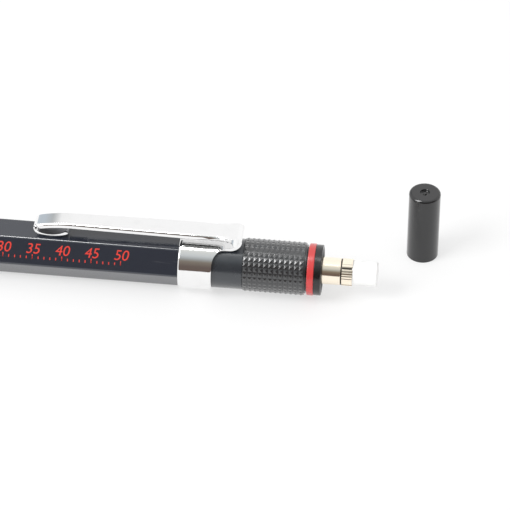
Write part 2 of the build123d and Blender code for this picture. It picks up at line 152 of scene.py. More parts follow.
# %% Values and trees
class Value:
    """What comes out of a node. Python's operators on it add Math nodes to its tree."""

    def __init__(self, tree, socket):
        self.tree = tree
        self.socket = socket

    def math(self, operation, first, second=0.0):
        return self.tree.node("ShaderNodeMath", {"operation": operation}, {0: first, 1: second})

    def __add__(self, other):
        return self.math("ADD", self, other)

    def __radd__(self, other):
        return self.math("ADD", other, self)

    def __sub__(self, other):
        return self.math("SUBTRACT", self, other)

    def __rsub__(self, other):
        return self.math("SUBTRACT", other, self)

    def __mul__(self, other):
        return self.math("MULTIPLY", self, other)

    def __rmul__(self, other):
        return self.math("MULTIPLY", other, self)

    def __truediv__(self, other):
        return self.math("DIVIDE", self, other)

    def __rtruediv__(self, other):
        return self.math("DIVIDE", other, self)

    def __mod__(self, other):
        return self.math("FLOORED_MODULO", self, other)

    def __rmod__(self, other):
        return self.math("FLOORED_MODULO", other, self)

    def floor(self):
        return self.math("FLOOR", self)

    def beside(self, output):
        """Another output of the same node."""
        return Value(self.tree, self.socket.node.outputs[output])

    def between(self, low, high):
        """0 up to low, 1 from high on, and a smooth step in between."""
        return self.tree.node(
            "ShaderNodeMapRange",
            {"interpolation_type": "SMOOTHSTEP"},
            {"Value": self, "From Min": low, "From Max": high},
        )


class Tree:
    """A node tree being built. node() adds any node and returns one of its outputs."""

    def __init__(self, tree):
        self.tree = tree

    def node(self, kind, settings=None, inputs=None, output=0):
        node = self.tree.nodes.new(kind)
        for name, setting in (settings or {}).items():
            if name == "stops":
                set_stops(node.color_ramp, setting)
            else:
                setattr(node, name, setting)
        for name, value in (inputs or {}).items():
            self.set_socket(node.inputs[name], value)
        return Value(self, node.outputs[output]) if node.outputs else None

    def mix(self, factor, first, second):
        """The first colour, passing to the second where the factor is 1."""
        sockets = {0: factor, 6: first, 7: second}
        return self.node("ShaderNodeMix", {"data_type": "RGBA"}, sockets, output=2)

    def rays(self, *kinds):
        """A value for each kind of ray, such as Camera: 1 for such a ray and 0 for the others."""
        path = self.node("ShaderNodeLightPath")
        return [path.beside(f"Is {kind} Ray") for kind in kinds]

    def set_socket(self, socket, value):
        if isinstance(value, Value):
            self.tree.links.new(value.socket, socket)
        else:
            socket.default_value = value


def set_stops(ramp, stops):
    """Sets a colour ramp's stops, given as (position, colour)."""
    while len(ramp.elements) < len(stops):
        ramp.elements.new(1.0)
    for element, (position, colour) in zip(ramp.elements, stops):
        element.position = position
        element.color = (*colour, 1.0)


# %% [markdown]
# ## Finishes
# A finish is a Principled shader with its constants set once, and with grain, gloss and wear that
# vary over the surface. All patterns read Object coordinates, which here are the pencil's own
# metres, so that a feature's size is stated in millimetres and looks the same on every piece.


# %% The Finish class
class Finish(Tree):
    """A material: constants are set on its shader, and feed() links what varies."""

    def __init__(self, name, colour, constants):
        self.material = bpy.data.materials.new(name)
        self.material.use_nodes = True
        super().__init__(self.material.node_tree)
        self.shader = self.tree.nodes["Principled BSDF"]
        self.colour = (*colour, 1.0)
        self.shader.inputs["Base Color"].default_value = self.colour
        for socket, value in constants.items():
            self.shader.inputs[socket].default_value = value
        self.place = self.node("ShaderNodeTexCoord", output="Object")

    def feed(self, socket, value):
        self.set_socket(self.shader.inputs[socket], value)

    def stretched(self, x, y, z):
        """Object coordinates stretched so that a pattern runs longer along one axis."""
        return self.node("ShaderNodeMapping", {}, {"Vector": self.place, "Scale": (x, y, z)})

    def grain(self, size, place=None, detail=2.0, roughness=0.5):
        """Noise from 0 to 1 whose features are about size mm across."""
        sockets = {
            "Vector": place or self.place,
            "Scale": 1 / (size * mm),
            "Detail": detail,
            "Roughness": roughness,
        }
        return self.node("ShaderNodeTexNoise", {}, sockets, output=0)

    def tint(self, factor, other):
        """The finish's own colour, passing to another colour where the factor is 1."""
        return self.mix(factor, self.colour, (*other, 1.0))

    def relief(self, height, depth):
        """Bump from a height of 0 to 1, with its full depth in mm."""
        bump = self.node(
            "ShaderNodeBump", {}, {"Height": height, "Strength": 1.0, "Distance": depth * mm}
        )
        self.feed("Normal", bump)


# %% [markdown]
# ### Plastics
# The barrel and cap are injection moulded from polished tools: glossy, with faint ripples that
# bend the reflections and hairline scratches from handling. The grip, neck and rings come from
# spark-eroded tools with a fine, even grain, which gives the satin look. The knurl's small
# facets are the smoothest of them, so that each can glint, and the end ring is the darkest.


# %% Plastics
def glossy_plastic(name, colour, gloss, scratch_direction, lacquer=0.0):
    constants = {"Roughness": gloss, "IOR": 1.52, "Coat Weight": lacquer, "Coat Roughness": 0.06}
    finish = Finish(name, colour, constants)
    ripples = finish.grain(3.0, detail=1.0)
    scratches = finish.grain(0.35, finish.stretched(*scratch_direction), detail=4.0)
    handled = finish.grain(6.0).between(0.35, 0.75)
    hairlines = scratches.between(0.62, 0.7) * handled
    finish.feed("Roughness", handled * 0.06 + hairlines * 0.12 + gloss)
    finish.feed("Base Color", finish.tint(hairlines * 0.25, (0.10, 0.10, 0.11)))
    finish.relief(ripples * 0.85 + hairlines * -0.15, 0.006)
    return finish.material


def satin_plastic(name, colour, gloss, grain_size=0.11, depth=0.005, lacquer=0.0):
    constants = {"Roughness": gloss, "IOR": 1.6, "Coat Weight": lacquer, "Coat Roughness": 0.12}
    finish = Finish(name, colour, constants)
    sparks = finish.grain(grain_size, detail=3.0, roughness=0.6)
    handled = finish.grain(5.0).between(0.3, 0.8)
    finish.feed("Roughness", gloss + 0.08 - handled * 0.14)
    finish.feed("Base Color", finish.tint(sparks.between(0.45, 0.8) * 0.3, (0.075, 0.075, 0.08)))
    finish.relief(sparks, depth)
    return finish.material


barrel_plastic = glossy_plastic("barrel_plastic", (0.020, 0.024, 0.035), 0.12, (0.06, 1, 1), 0.5)
cap_plastic = glossy_plastic("cap_plastic", (0.011, 0.011, 0.012), 0.10, (1, 1, 0.08), 0.25)
black_plastic = satin_plastic(
    "black_plastic", (0.017, 0.018, 0.021), 0.27, depth=0.002, lacquer=0.5
)
neck_plastic = satin_plastic("neck_plastic", (0.018, 0.023, 0.030), 0.27, depth=0.002, lacquer=0.5)
knurl_plastic = satin_plastic(
    "knurl_plastic", (0.012, 0.013, 0.015), 0.24, depth=0.001, lacquer=1.0
)
end_plastic = satin_plastic("end_plastic", (0.003, 0.003, 0.003), 0.20, depth=0.002)
grip_plastic = satin_plastic("grip_plastic", (0.024, 0.025, 0.027), 0.42, 0.14, 0.008)
red_plastic = glossy_plastic("red_plastic", (0.60, 0.045, 0.045), 0.20, (1, 0.1, 0.1), 0.3)
scale_plastic = satin_plastic("scale_plastic", (0.83, 0.83, 0.80), 0.45)
inner_plastic = satin_plastic("inner_plastic", (0.70, 0.69, 0.64), 0.40)
print("plastics made")

# %% [markdown]
# ### Metals
# The clip is sheet steel under bright chrome. Its last polish runs along the sheet and leaves
# lines too fine to see singly, which stretch the reflections slightly. Inside the curl and under
# the arm the sheet is rougher, and dark grey as painted shade. The eraser holder is turned brass
# under nickel, warmer in colour, with lines that run round it, and a near-black liner paints
# shade at the bottom of its slots.


# %% Metals
def plated_metal(name, colour, gloss, line_direction, line_size=0.05, depth=0.0006, tarnish=None):
    finish = Finish(name, colour, {"Metallic": 1.0, "Roughness": gloss})
    lines = finish.grain(line_size, finish.stretched(*line_direction), detail=3.0)
    touched = finish.grain(2.2, detail=3.0).between(0.45, 0.8)
    finish.feed("Roughness", gloss + lines * 0.05 + touched * 0.05)
    dulled = tarnish or tuple(c * 0.9 for c in colour)
    finish.feed("Base Color", finish.tint(touched * 0.35, dulled))
    finish.relief(lines, depth)
    return finish.material


clip_chrome = plated_metal("clip_chrome", (0.86, 0.86, 0.86), 0.04, (0.04, 1, 1))
# Dark grey for the inside of the curl and the arm's underside: painted shade, on a rougher finish.
clip_inside = plated_metal("clip_inside", (0.22, 0.22, 0.23), 0.30, (0.04, 1, 1), 0.08, 0.002)
bright_nickel = plated_metal(
    "bright_nickel", (0.96, 0.87, 0.73), 0.09, (1, 0.03, 0.03), tarnish=(0.93, 0.84, 0.68)
)
# Near-black for the liner under the crown's slots and groove: painted shade.
slot_black = plated_metal("slot_black", (0.05, 0.045, 0.04), 0.5, (1, 0.04, 0.04), 0.08, 0.002)
satin_nickel = plated_metal("satin_nickel", (0.72, 0.71, 0.68), 0.24, (1, 0.04, 0.04), 0.06, 0.002)
steel = plated_metal("steel", (0.70, 0.70, 0.72), 0.20, (1, 0.04, 0.04), 0.05, 0.0015)
spring_steel = plated_metal("spring_steel", (0.58, 0.58, 0.60), 0.25, (0.2, 1, 1), 0.08, 0.002)
brass = plated_metal("brass", (0.80, 0.62, 0.30), 0.22, (1, 0.05, 0.05), 0.07, 0.002)
print("metals made")

# %% [markdown]
# ### Eraser, rubber and lead
# The eraser is white vinyl: matt, with a powdery grain. The graphite lead is dull grey with a
# metallic sheen along its length.


# %% Eraser, rubber and lead
def soft_vinyl(name, colour, grain_size, depth, sheen):
    finish = Finish(name, colour, {"IOR": 1.45})
    powder = finish.grain(grain_size, detail=4.0, roughness=0.65)
    clouds = finish.grain(1.6, detail=2.0)
    darker = tuple(c * 0.93 for c in colour)
    finish.feed("Base Color", finish.tint(clouds.between(0.45, 0.85) * 0.5, darker))
    finish.feed("Roughness", powder * 0.2 + sheen)
    finish.relief(powder, depth)
    return finish.material


def graphite(name):
    finish = Finish(name, (0.075, 0.076, 0.082), {"Metallic": 0.6})
    drawn = finish.grain(0.05, finish.stretched(0.05, 1, 1), detail=3.0)
    finish.feed("Roughness", drawn * 0.25 + 0.25)
    finish.feed("Base Color", finish.tint(drawn.between(0.5, 0.8) * 0.6, (0.16, 0.16, 0.17)))
    finish.relief(drawn, 0.003)
    return finish.material


eraser_white = soft_vinyl("eraser_white", (0.93, 0.93, 0.92), 0.12, 0.008, 0.5)
rubber = soft_vinyl("rubber", (0.045, 0.045, 0.047), 0.10, 0.008, 0.45)
lead_grey = graphite("lead_grey")
print("soft finishes made")

# %% [markdown]
# ### Inks
# The print is opaque ink, a few hundredths of a millimetre thick. It covers unevenly, so its
# colour and gloss vary a little.


# %% Inks
def ink(name, colour, faded):
    finish = Finish(name, colour, {"IOR": 1.5})
    cover = finish.grain(0.18, detail=3.0)
    finish.feed("Base Color", finish.tint(cover.between(0.4, 0.8) * 0.5, faded))
    finish.feed("Roughness", cover * 0.2 + 0.25)
    finish.relief(cover, 0.003)
    return finish.material


red_ink = ink("red_ink", (0.66, 0.040, 0.025), (0.52, 0.035, 0.025))
dark_ink = ink("dark_ink", (0.02, 0.02, 0.022), (0.06, 0.06, 0.062))
print("inks made")

# %% [markdown]
# ## Meshes from outlines
# Most pieces are turned, so one function rounds the corners of a half-outline and another joins
# its rings of points into a closed skin. A rounded corner gets a support ring beside it, so that
# the flat next to it stays flat when its shading is smoothed.

# %% Outlines with rounded corners
corner_steps, corner_share, support_share = 5, 0.45, 0.2


def rounded_corner(before, corner, after, rounding):
    """Points of the arc that rounds a corner, with a support point at each end of it."""
    into = (before - corner).normalized()
    out = (after - corner).normalized()
    half = into.angle(out) / 2
    shorter = min((before - corner).length, (after - corner).length)
    reach = min(rounding / tan(half), corner_share * shorter)
    radius = reach * tan(half)
    centre = corner + (into + out).normalized() * (radius / sin(half))
    start, end = corner + into * reach - centre, corner + out * reach - centre
    sweep = start.angle_signed(end)
    arc = []
    for step in range(corner_steps + 1):
        turn = -sweep * step / corner_steps
        arc.append(centre + Matrix.Rotation(turn, 2) @ start)
    margin = support_share * reach
    return [arc[0] + into * margin, *arc, arc[-1] + out * margin]


def rounded_outline(corners):
    """A closed outline of points in mm, from (station, radius) or (station, radius, rounding)."""
    points = [Vector(corner[:2]) for corner in corners]
    outline = []
    for index, corner in enumerate(corners):
        rounding = corner[2] if len(corner) > 2 else 0
        if rounding:
            before, after = points[index - 1], points[(index + 1) % len(points)]
            outline += rounded_corner(before, points[index], after, rounding)
        else:
            outline.append(points[index])
    return outline


# %% New pieces
def smooth_shading(mesh, sharp):
    """Smooth shading, apart from the edges that turn by more than sharp degrees."""
    mesh.polygons.foreach_set("use_smooth", [True] * len(mesh.polygons))
    mesh.set_sharp_from_angle(angle=radians(sharp))


def new_piece(name, built, sharp=40):
    """An object from a bmesh: doubles merged, faces outward, shading smooth below an angle."""
    bmesh.ops.remove_doubles(built, verts=built.verts, dist=1e-8)
    bmesh.ops.dissolve_degenerate(built, edges=built.edges, dist=1e-8)
    bmesh.ops.recalc_face_normals(built, faces=built.faces)
    mesh = bpy.data.meshes.new(name)
    built.to_mesh(mesh)
    built.free()
    smooth_shading(mesh, sharp)
    piece = bpy.data.objects.new(name, mesh)
    bpy.context.scene.collection.objects.link(piece)
    return piece


def evaluated_mesh(piece):
    """A plain mesh of a piece as its modifiers, or its text, make it."""
    depsgraph = bpy.context.evaluated_depsgraph_get()
    return bpy.data.meshes.new_from_object(piece.evaluated_get(depsgraph))


def applied(piece):
    """The piece with its modifiers worked into its mesh."""
    mesh = evaluated_mesh(piece)
    piece.modifiers.clear()
    piece.data = mesh
    return piece


def finish_piece(piece, material, body, slot, *nodes):
    """Gives a finished piece its material and body, and hides the nodes it stands for. The slot is
    not used.
    """
    piece.data.materials.clear()
    piece.data.materials.append(material)
    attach(piece, body)
    if nodes:
        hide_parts(*nodes)
    print(piece.name, len(piece.data.polygons), "faces")


# %% [markdown]
# ### Skins of rings
# A turned piece is a closed half-outline that a lathe tool would follow, swept round in even
# steps. A skin is more general: it joins any rings of points, such as the barrel's hexagons.

# %% Skins and turned pieces
turn_steps = 96


def add_skin(built, rings, wrapped=True):
    """Joins rings of points with quads. A wrapped skin joins its last ring to its first."""
    rows = [[built.verts.new(point) for point in ring] for ring in rings]
    pairs = list(zip(rows, rows[1:]))
    if wrapped:
        pairs.append((rows[-1], rows[0]))
    for row, next_row in pairs:
        for index in range(len(row)):
            ahead = (index + 1) % len(row)
            built.faces.new((row[index], row[ahead], next_row[ahead], next_row[index]))
    if not wrapped:
        built.faces.new(rows[0])
        built.faces.new(rows[-1])


def ring(station, radius, centre=None):
    """A ring of points round the pencil's axis, or round an upright axis through centre."""
    points = []
    for step in range(turn_steps):
        angle = 2 * pi * step / turn_steps
        across, upward = radius * sin(angle), radius * cos(angle)
        if centre:
            points.append(Vector((centre[0] + across, centre[1] + upward, station)) * mm)
        else:
            points.append(Vector((station, across, upward)) * mm)
    return points


def turned(name, corners, centre=None):
    """A piece turned from a closed half-outline."""
    outline = rounded_outline(corners)
    built = bmesh.new()
    rows = [[built.verts.new(p) for p in ring(point.x, point.y, centre)] for point in outline]
    for index, row in enumerate(rows):
        next_row = rows[(index + 1) % len(rows)]
        if outline[index].y == 0 and outline[(index + 1) % len(rows)].y == 0:
            continue
        for step in range(turn_steps):
            ahead = (step + 1) % turn_steps
            built.faces.new((row[step], row[ahead], next_row[ahead], next_row[step]))
    return new_piece(name, built)


def turn_piece(node, corners, material, body, slot, centre=None):
    """A finished skin, turned from a half-outline, that stands for a node."""
    piece = turned(f"{node}_skin", corners, centre)
    finish_piece(piece, material, body, slot, node)


# %% [markdown]
# ## Front end
# The sleeve is drawn steel tube, the cone is turned and plated, and the grip is moulded with
# rings round it for the fingers. Skins that fit into each other keep a little play all round,
# and a thin seam shows where two of them meet end to end.

# %% Lead sleeve
play, seam = 0.02, 0.05
sleeve_bore, sleeve_radius, sleeve_collar_radius = 0.38, 0.53, 0.73
sleeve_rear, collar_front = 7.0, 4.15
sleeve_outline = [
    (0, sleeve_bore, 0.02),
    (0, sleeve_radius, 0.06),
    (collar_front, sleeve_radius),
    (collar_front, sleeve_collar_radius),
    (sleeve_rear, sleeve_collar_radius),
    (sleeve_rear, sleeve_bore),
]
turn_piece("lead_sleeve", sleeve_outline, steel, "pencil", "steel")

# %% Cone
nose_radius, cone_knee, cone_knee_radius = 1.15, 10.0, 2.962
cone_spigot_radius, cone_bore_rear, cone_bore_front = 2.75, 2.36, 2.03
cone_rear = grip_front - seam
cone_outline = [
    (cone_front, sleeve_radius + play, 0.02),
    (cone_front, nose_radius, 0.22),
    (cone_knee, cone_knee_radius, 12.0),
    (cone_rear, cone_rear_radius, 0.08),
    (cone_rear, cone_spigot_radius),
    (cone_spigot_rear, cone_spigot_radius),
    (cone_spigot_rear, cone_bore_rear),
    (sleeve_rear, cone_bore_front),
    (sleeve_rear, sleeve_radius + play),
]
turn_piece("tip_cone", cone_outline, satin_nickel, "pencil", "satin_nickel")

# %% Grip
grip_length, grip_bevel, groove_margin, groove_pitch = 30.0, 0.3, 4.2, 5.4
groove_width, groove_depth = 1.6, 0.3
grip_bore, grip_spigot_radius = 2.77, 3.2
grip_rear = grip_front + grip_length
grip_outline = [
    (grip_front, grip_bore),
    (grip_front, grip_radius - grip_bevel, 0.08),
    (grip_front + grip_bevel, grip_radius, 0.1),
]
groove_count = int((grip_length - 2 * groove_margin) / groove_pitch) + 1
for groove in range(groove_count):
    start = grip_front + groove_margin + groove * groove_pitch - groove_width / 2
    grip_outline += [
        (start, grip_radius, 0.1),
        (start, grip_radius - groove_depth, 0.12),
        (start + groove_width, grip_radius - groove_depth, 0.12),
        (start + groove_width, grip_radius, 0.1),
    ]
grip_outline += [
    (grip_rear, grip_radius, 0.1),
    (grip_rear, grip_spigot_radius),
    (grip_spigot_rear, grip_spigot_radius),
    (grip_spigot_rear, grip_bore),
]
turn_piece("front_grip", grip_outline, grip_plastic, "pencil", "grip_plastic")

# %% [markdown]
# ## Barrel
# The barrel is a hexagon with rounded corners. A cone cuts its front end, as on a sharpened
# pencil, so the bevel meets the flats in shallow curves. Each ring of points is the hexagon with
# every point drawn in to the cone's radius where the cone is smaller.

# %% Hexagonal barrel
corner_round, front_bevel, bevel_steps = 0.55, 1.1, 10
bevel_supports, seat_support = (1.3, 2.0), 0.3
barrel_bore, grip_socket, rear_socket, socket_depth = 3.05, 3.22, 3.57, 10.55
seat_length = 5.6
hex_rear = barrel_rear - seat_length
corner_reach = flat_height / cos(radians(30))


def hexagon_section():
    """Points of the rounded hexagon, flats up and down, in mm."""
    corners = []
    for side in range(6):
        angle = radians(60 * side)
        corners.append((corner_reach * cos(angle), corner_reach * sin(angle), corner_round))
    return rounded_outline(corners)


def barrel_ring(section, station, limit=None, radius=None):
    """The hexagon at a station, no further out than limit, or a circle with the same points."""
    points = []
    for point in section:
        reach = radius or min(point.length, limit or point.length)
        across = point.normalized() * reach
        points.append(Vector((station, across.x, across.y)) * mm)
    return points


# %% Barrel skin
section = hexagon_section()
rings = [barrel_ring(section, barrel_front, radius=grip_socket)]
for step in range(bevel_steps + 1):
    share = step / bevel_steps
    limit = corner_reach + front_bevel / 2 * (share - 1)
    rings.append(barrel_ring(section, barrel_front + front_bevel * share, limit))
for support in bevel_supports:
    rings.append(barrel_ring(section, barrel_front + support))
for station in (hex_rear - seat_support, hex_rear):
    rings.append(barrel_ring(section, station))
rear_socket_front, grip_socket_rear = barrel_rear - socket_depth, grip_spigot_rear + seam
for station, radius in (
    (hex_rear, seat_radius),
    (barrel_rear, seat_radius),
    (barrel_rear, rear_socket),
    (rear_socket_front, rear_socket),
    (rear_socket_front, barrel_bore),
    (grip_socket_rear, barrel_bore),
    (grip_socket_rear, grip_socket),
):
    rings.append(barrel_ring(section, station, radius=radius))
built = bmesh.new()
add_skin(built, rings)
barrel = new_piece("barrel_skin", built, 50)
finish_piece(barrel, barrel_plastic, "pencil", "barrel_plastic", "barrel")

# %% [markdown]
# ## Arrays along and round the pencil
# Three things repeat on this pencil: the pyramids of the grade ring, the quarters of the slotted
# crown and the strokes of the printed scale. One Geometry Nodes tree serves them all. It takes
# one item, already in its first place, and copies it along the axis and round it. The copies
# start as instances, which are cheap, and Realize Instances makes them one mesh.

# %% The array tree's sockets
array_tree = Tree(bpy.data.node_groups.new("along_and_round", "GeometryNodeTree"))
interface = array_tree.tree.interface
interface.new_socket("Geometry", in_out="INPUT", socket_type="NodeSocketGeometry")
array_sockets = {}
for name, kind in (
    ("Columns", "NodeSocketInt"),
    ("Pitch", "NodeSocketFloat"),
    ("Around", "NodeSocketInt"),
    ("Material", "NodeSocketMaterial"),
):
    array_sockets[name] = interface.new_socket(name, in_out="INPUT", socket_type=kind).identifier
interface.new_socket("Geometry", in_out="OUTPUT", socket_type="NodeSocketGeometry")

# %% The array tree's nodes
item = array_tree.node("NodeGroupInput", output="Geometry")
columns, pitch, around, paint = (item.beside(name) for name in array_sockets)
index = array_tree.node("GeometryNodeInputIndex")
place = array_tree.node("ShaderNodeCombineXYZ", {}, {"X": (index / around).floor() * pitch})
spin = array_tree.node("ShaderNodeCombineXYZ", {}, {"X": index % around / around * (2 * pi)})
turn = array_tree.node("FunctionNodeEulerToRotation", {}, {0: spin})
points = array_tree.node("GeometryNodePoints", {}, {"Count": columns * around, "Position": place})
copies = array_tree.node(
    "GeometryNodeInstanceOnPoints", {}, {"Points": points, "Instance": item, "Rotation": turn}
)
real = array_tree.node("GeometryNodeRealizeInstances", {}, {0: copies})
painted = array_tree.node("GeometryNodeSetMaterial", {}, {"Geometry": real, "Material": paint})
array_tree.node("NodeGroupOutput", {}, {"Geometry": painted})


def arrayed(item, material, columns=1, pitch=0.0, around=1):
    """A plain mesh of the item's copies, made by the array tree."""
    modifier = item.modifiers.new("array", "NODES")
    modifier.node_group = array_tree.tree
    chosen = {"Columns": columns, "Pitch": pitch * mm, "Around": around, "Material": material}
    for name, value in chosen.items():
        modifier[array_sockets[name]] = value
    print(item.name, "made of", columns * around, "copies")
    return applied(item)


# %% [markdown]
# ## Rear end
# Behind the clip's band comes the neck with its small window, then the knurled grade ring, the
# red ring and the end ring. The neck is a turned skin with the window cut out of its far side.
# A Boolean does that well here, because the wall is thick against the window's rounded corners.

# %% Neck
neck_front, neck_bore = barrel_rear + seam, 3.72
web_thickness, spigot_radius = 0.6, 3.55
window_length, window_width, window_corner, cutter_margin = 2.6, 2.4, 0.4, 0.5
square = [(-1, -1), (1, -1), (1, 1), (-1, 1)]
neck_outline = [
    (sleeve_front, guide_radius + play),
    (sleeve_front, spigot_radius),
    (neck_front, spigot_radius),
    (neck_front, neck_radius, 0.05),
    (neck_rear, neck_radius, 0.05),
    (neck_rear, neck_bore),
    (neck_front + web_thickness, neck_bore),
    (neck_front + web_thickness, guide_radius + play),
]
window_sleeve = turned("window_sleeve_skin", neck_outline)
window_middle = (scale_front + neck_rear) / 2
print(f"neck {neck_rear - neck_front:.2f} long, window in the middle at {window_middle:.2f}")


# %% Window
def window_cutter():
    """A rounded bar that passes through the neck's wall on its far side."""
    half_length, half_width = window_length / 2, window_width / 2
    corners = [
        (window_middle + along * half_length, across * half_width, window_corner)
        for along, across in square
    ]
    outline = rounded_outline(corners)
    built = bmesh.new()
    rings = [
        [Vector((point.x, depth, point.y)) * mm for point in outline]
        for depth in (neck_bore - cutter_margin, neck_radius + cutter_margin)
    ]
    add_skin(built, rings, wrapped=False)
    return new_piece("window_cutter", built)


def cut_away(piece, cutter):
    """Takes what the cutter fills out of the piece."""
    modifier = piece.modifiers.new("cut", "BOOLEAN")
    modifier.object = cutter
    modifier.solver = "EXACT"
    applied(piece)
    bpy.data.objects.remove(cutter)


cut_away(window_sleeve, window_cutter())
finish_piece(window_sleeve, neck_plastic, "pencil", "black_plastic", "window_sleeve")

# %% [markdown]
# ### Grade ring
# Small square pyramids cover the grade ring, for a dry grip. They are low, with sides at about
# fifteen degrees. One is made, with its foot just under the ring's skin, and the array tree
# makes the rest. A darker collar at the rear shows in the gap in front of the red ring.

# %% Grade ring
knurl_columns, knurl_around = 12, 32
knurl_height, knurl_turn, knurl_sink, knurl_gap = 0.085, 4.2, 0.03, 0.03
knurl_tip, tip_foot_share, tip_share = 0.01, 0.10, 0.04
knurl_root = knurl_peak - knurl_height
knurl_pitch = (grade_rear - grade_front) / knurl_columns
dark_collar_radius, dark_collar_front = 4.12, scale_rear + seam
ring_outline = [
    (grade_front, scale_radius + play),
    (grade_front, knurl_root, 0.05),
    (grade_rear, knurl_root, 0.05),
    (grade_rear, dark_collar_radius),
    (dark_collar_front, dark_collar_radius),
    (dark_collar_front, scale_radius + play),
]
turn_piece("grade_ring", ring_outline, black_plastic, "grade_unit", "black_plastic")


# %% Pyramids
def pyramid():
    """The first pyramid of the knurl, on top at the ring's front end."""
    half_length = (knurl_pitch - knurl_gap) / 2
    half_width = pi * knurl_root / knurl_around - knurl_gap / 2
    middle = grade_front + knurl_pitch / 2
    turned_in = Matrix.Rotation(radians(knurl_turn), 3, "X")
    rings = []
    for height, share in (
        (knurl_root - knurl_sink, 1.0),
        (knurl_peak - knurl_tip, tip_foot_share),
        (knurl_peak, tip_share),
    ):
        length, width = half_length * share, half_width * share
        corners = [Vector((middle + a * length, b * width, height)) for a, b in square]
        rings.append([turned_in @ corner * mm for corner in corners])
    built = bmesh.new()
    add_skin(built, rings, wrapped=False)
    return new_piece("grade_ring_knurl", built, 10)


knurl = arrayed(pyramid(), knurl_plastic, knurl_columns, knurl_pitch, knurl_around)
finish_piece(knurl, knurl_plastic, "grade_unit", "black_plastic")

# %% [markdown]
# ### Scale, red ring, end ring and guide tube
# These are plain turned parts, each with its edges just broken. The end ring's rear face falls
# in to the guide tube as a shallow cone.

# %% Grade scale and red ring
scale_outline = [
    (scale_front, guide_radius + 0.03),
    (scale_front, scale_radius),
    (scale_rear, scale_radius),
    (scale_rear, guide_radius + 0.03),
]
turn_piece("grade_scale", scale_outline, scale_plastic, "grade_unit", "scale_plastic")

red_bore = neck_radius - 0.5
red_skin_front, red_skin_rear = red_front + 0.2, red_rear - 0.15
red_outline = [
    (red_skin_front, red_bore),
    (red_skin_front, red_radius, 0.14),
    (red_skin_rear, red_radius, 0.14),
    (red_skin_rear, red_bore),
]
turn_piece("red_ring", red_outline, red_plastic, "pencil", "red_plastic")

# %% End ring and guide tube
recess_radius, recess_step, lip_width = guide_radius - 0.28, 0.1, 0.25
print(f"end ring {red_rear:.2f} to {end_rear:.2f}, guide tube's rear {guide_rear:.2f}")
end_outline = [
    (red_front, guide_radius + play),
    (red_front, red_bore - play),
    (red_skin_rear + play, red_bore - play),
    (red_skin_rear + play, neck_radius, 0.04),
    (end_rear, neck_radius, 0.16),
    (end_rear, neck_radius - lip_width, 0.06),
    (guide_rear + recess_step, recess_radius + 0.05, 0.04),
    (guide_rear + recess_step, recess_radius),
    (guide_rear + seam, recess_radius),
    (guide_rear + seam, guide_radius + play),
]
turn_piece("end_ring", end_outline, end_plastic, "pencil", "black_plastic")

guide_outline = [
    (guide_front, recess_radius),
    (guide_front, guide_radius),
    (guide_rear, guide_radius),
    (guide_rear, recess_radius),
]
turn_piece("guide_tube", guide_outline, black_plastic, "pencil", "black_plastic")

# %% [markdown]
# ## Lead tube, eraser holder and eraser
# The holder plugs into the rear of the lead tube. Its crown is slit into four quarters that grip
# the eraser, and each quarter has fine flutes for the nails to catch. The tube and the holder
# themselves are turned.

# %% Lead tube and holder
tube_bore, eraser_bore = tube_radius - 0.37, eraser_radius + play
crown_length, holder_groove, holder_groove_depth = 1.75, 0.25, 0.1
crown_front = crown_rear - crown_length
groove_front, groove_radius = crown_front - holder_groove, holder_radius - holder_groove_depth
stem_radius, stem_bore, stem_length = 1.90, 1.53, 4.5
holder_seam = holder_front + stem_length
eraser_seat, seat_web = eraser_front - seam, 0.7
tube_outline = [
    (tube_front, tube_bore),
    (tube_front, tube_radius),
    (tube_rear, tube_radius, 0.05),
    (tube_rear, tube_bore, 0.05),
]
turn_piece("lead_tube", tube_outline, satin_nickel, "push_unit", "satin_nickel")

holder_outline = [
    (holder_front, stem_bore),
    (holder_front, stem_radius, 0.05),
    (holder_seam, stem_radius),
    (holder_seam, holder_radius, 0.04),
    (groove_front, holder_radius, 0.05),
    (groove_front, groove_radius, 0.03),
    (crown_front, groove_radius),
    (crown_front, eraser_bore),
    (eraser_seat, eraser_bore),
    (eraser_seat, 0),
    (eraser_seat - seat_web, 0),
    (eraser_seat - seat_web, stem_bore),
]
turn_piece("eraser_holder", holder_outline, bright_nickel, "eraser_unit", "bright_nickel")

# %% [markdown]
# ### Crown
# A saw cuts the crown into quarters. So one quarter is drawn as a section, with its flutes as
# shallow waves, and the array tree turns it into four. A dark liner inside is painted shade: it
# darkens the bottom of the slots and of the groove in front of them.

# %% Crown
crown_quarters, flutes_each, slot_width, crown_turn = 4, 6, 0.34, 10.0
flute_depth, flute_steps, crown_bore = 0.05, 8, eraser_bore + 0.07
crown_chamfer, crown_draft = 0.06, 0.985


def crown_quarter():
    """One quarter of the crown: a bent plate whose outside is fluted."""
    gap = slot_width / 2 / holder_radius
    start, end = -pi / crown_quarters + gap, pi / crown_quarters - gap
    steps = flute_steps * flutes_each
    outside, inside = [], []
    for step in range(steps + 1):
        angle = radians(crown_turn) + start + (end - start) * step / steps
        groove = max(0.0, cos(2 * pi * flutes_each * step / steps)) ** 2
        reach = holder_radius - flute_depth * groove
        outside.append((reach * sin(angle), reach * cos(angle)))
        inside.append((crown_bore * sin(angle), crown_bore * cos(angle)))
    section = outside + inside[::-1]
    ends = [(crown_front, 1.0), (crown_rear - crown_chamfer, 1.0), (crown_rear, crown_draft)]
    rings = [[Vector((x, y * share, z * share)) * mm for y, z in section] for x, share in ends]
    built = bmesh.new()
    add_skin(built, rings, wrapped=False)
    return new_piece("eraser_holder_crown", built, 30)


crown = arrayed(crown_quarter(), bright_nickel, around=crown_quarters)
finish_piece(crown, bright_nickel, "eraser_unit", "bright_nickel")
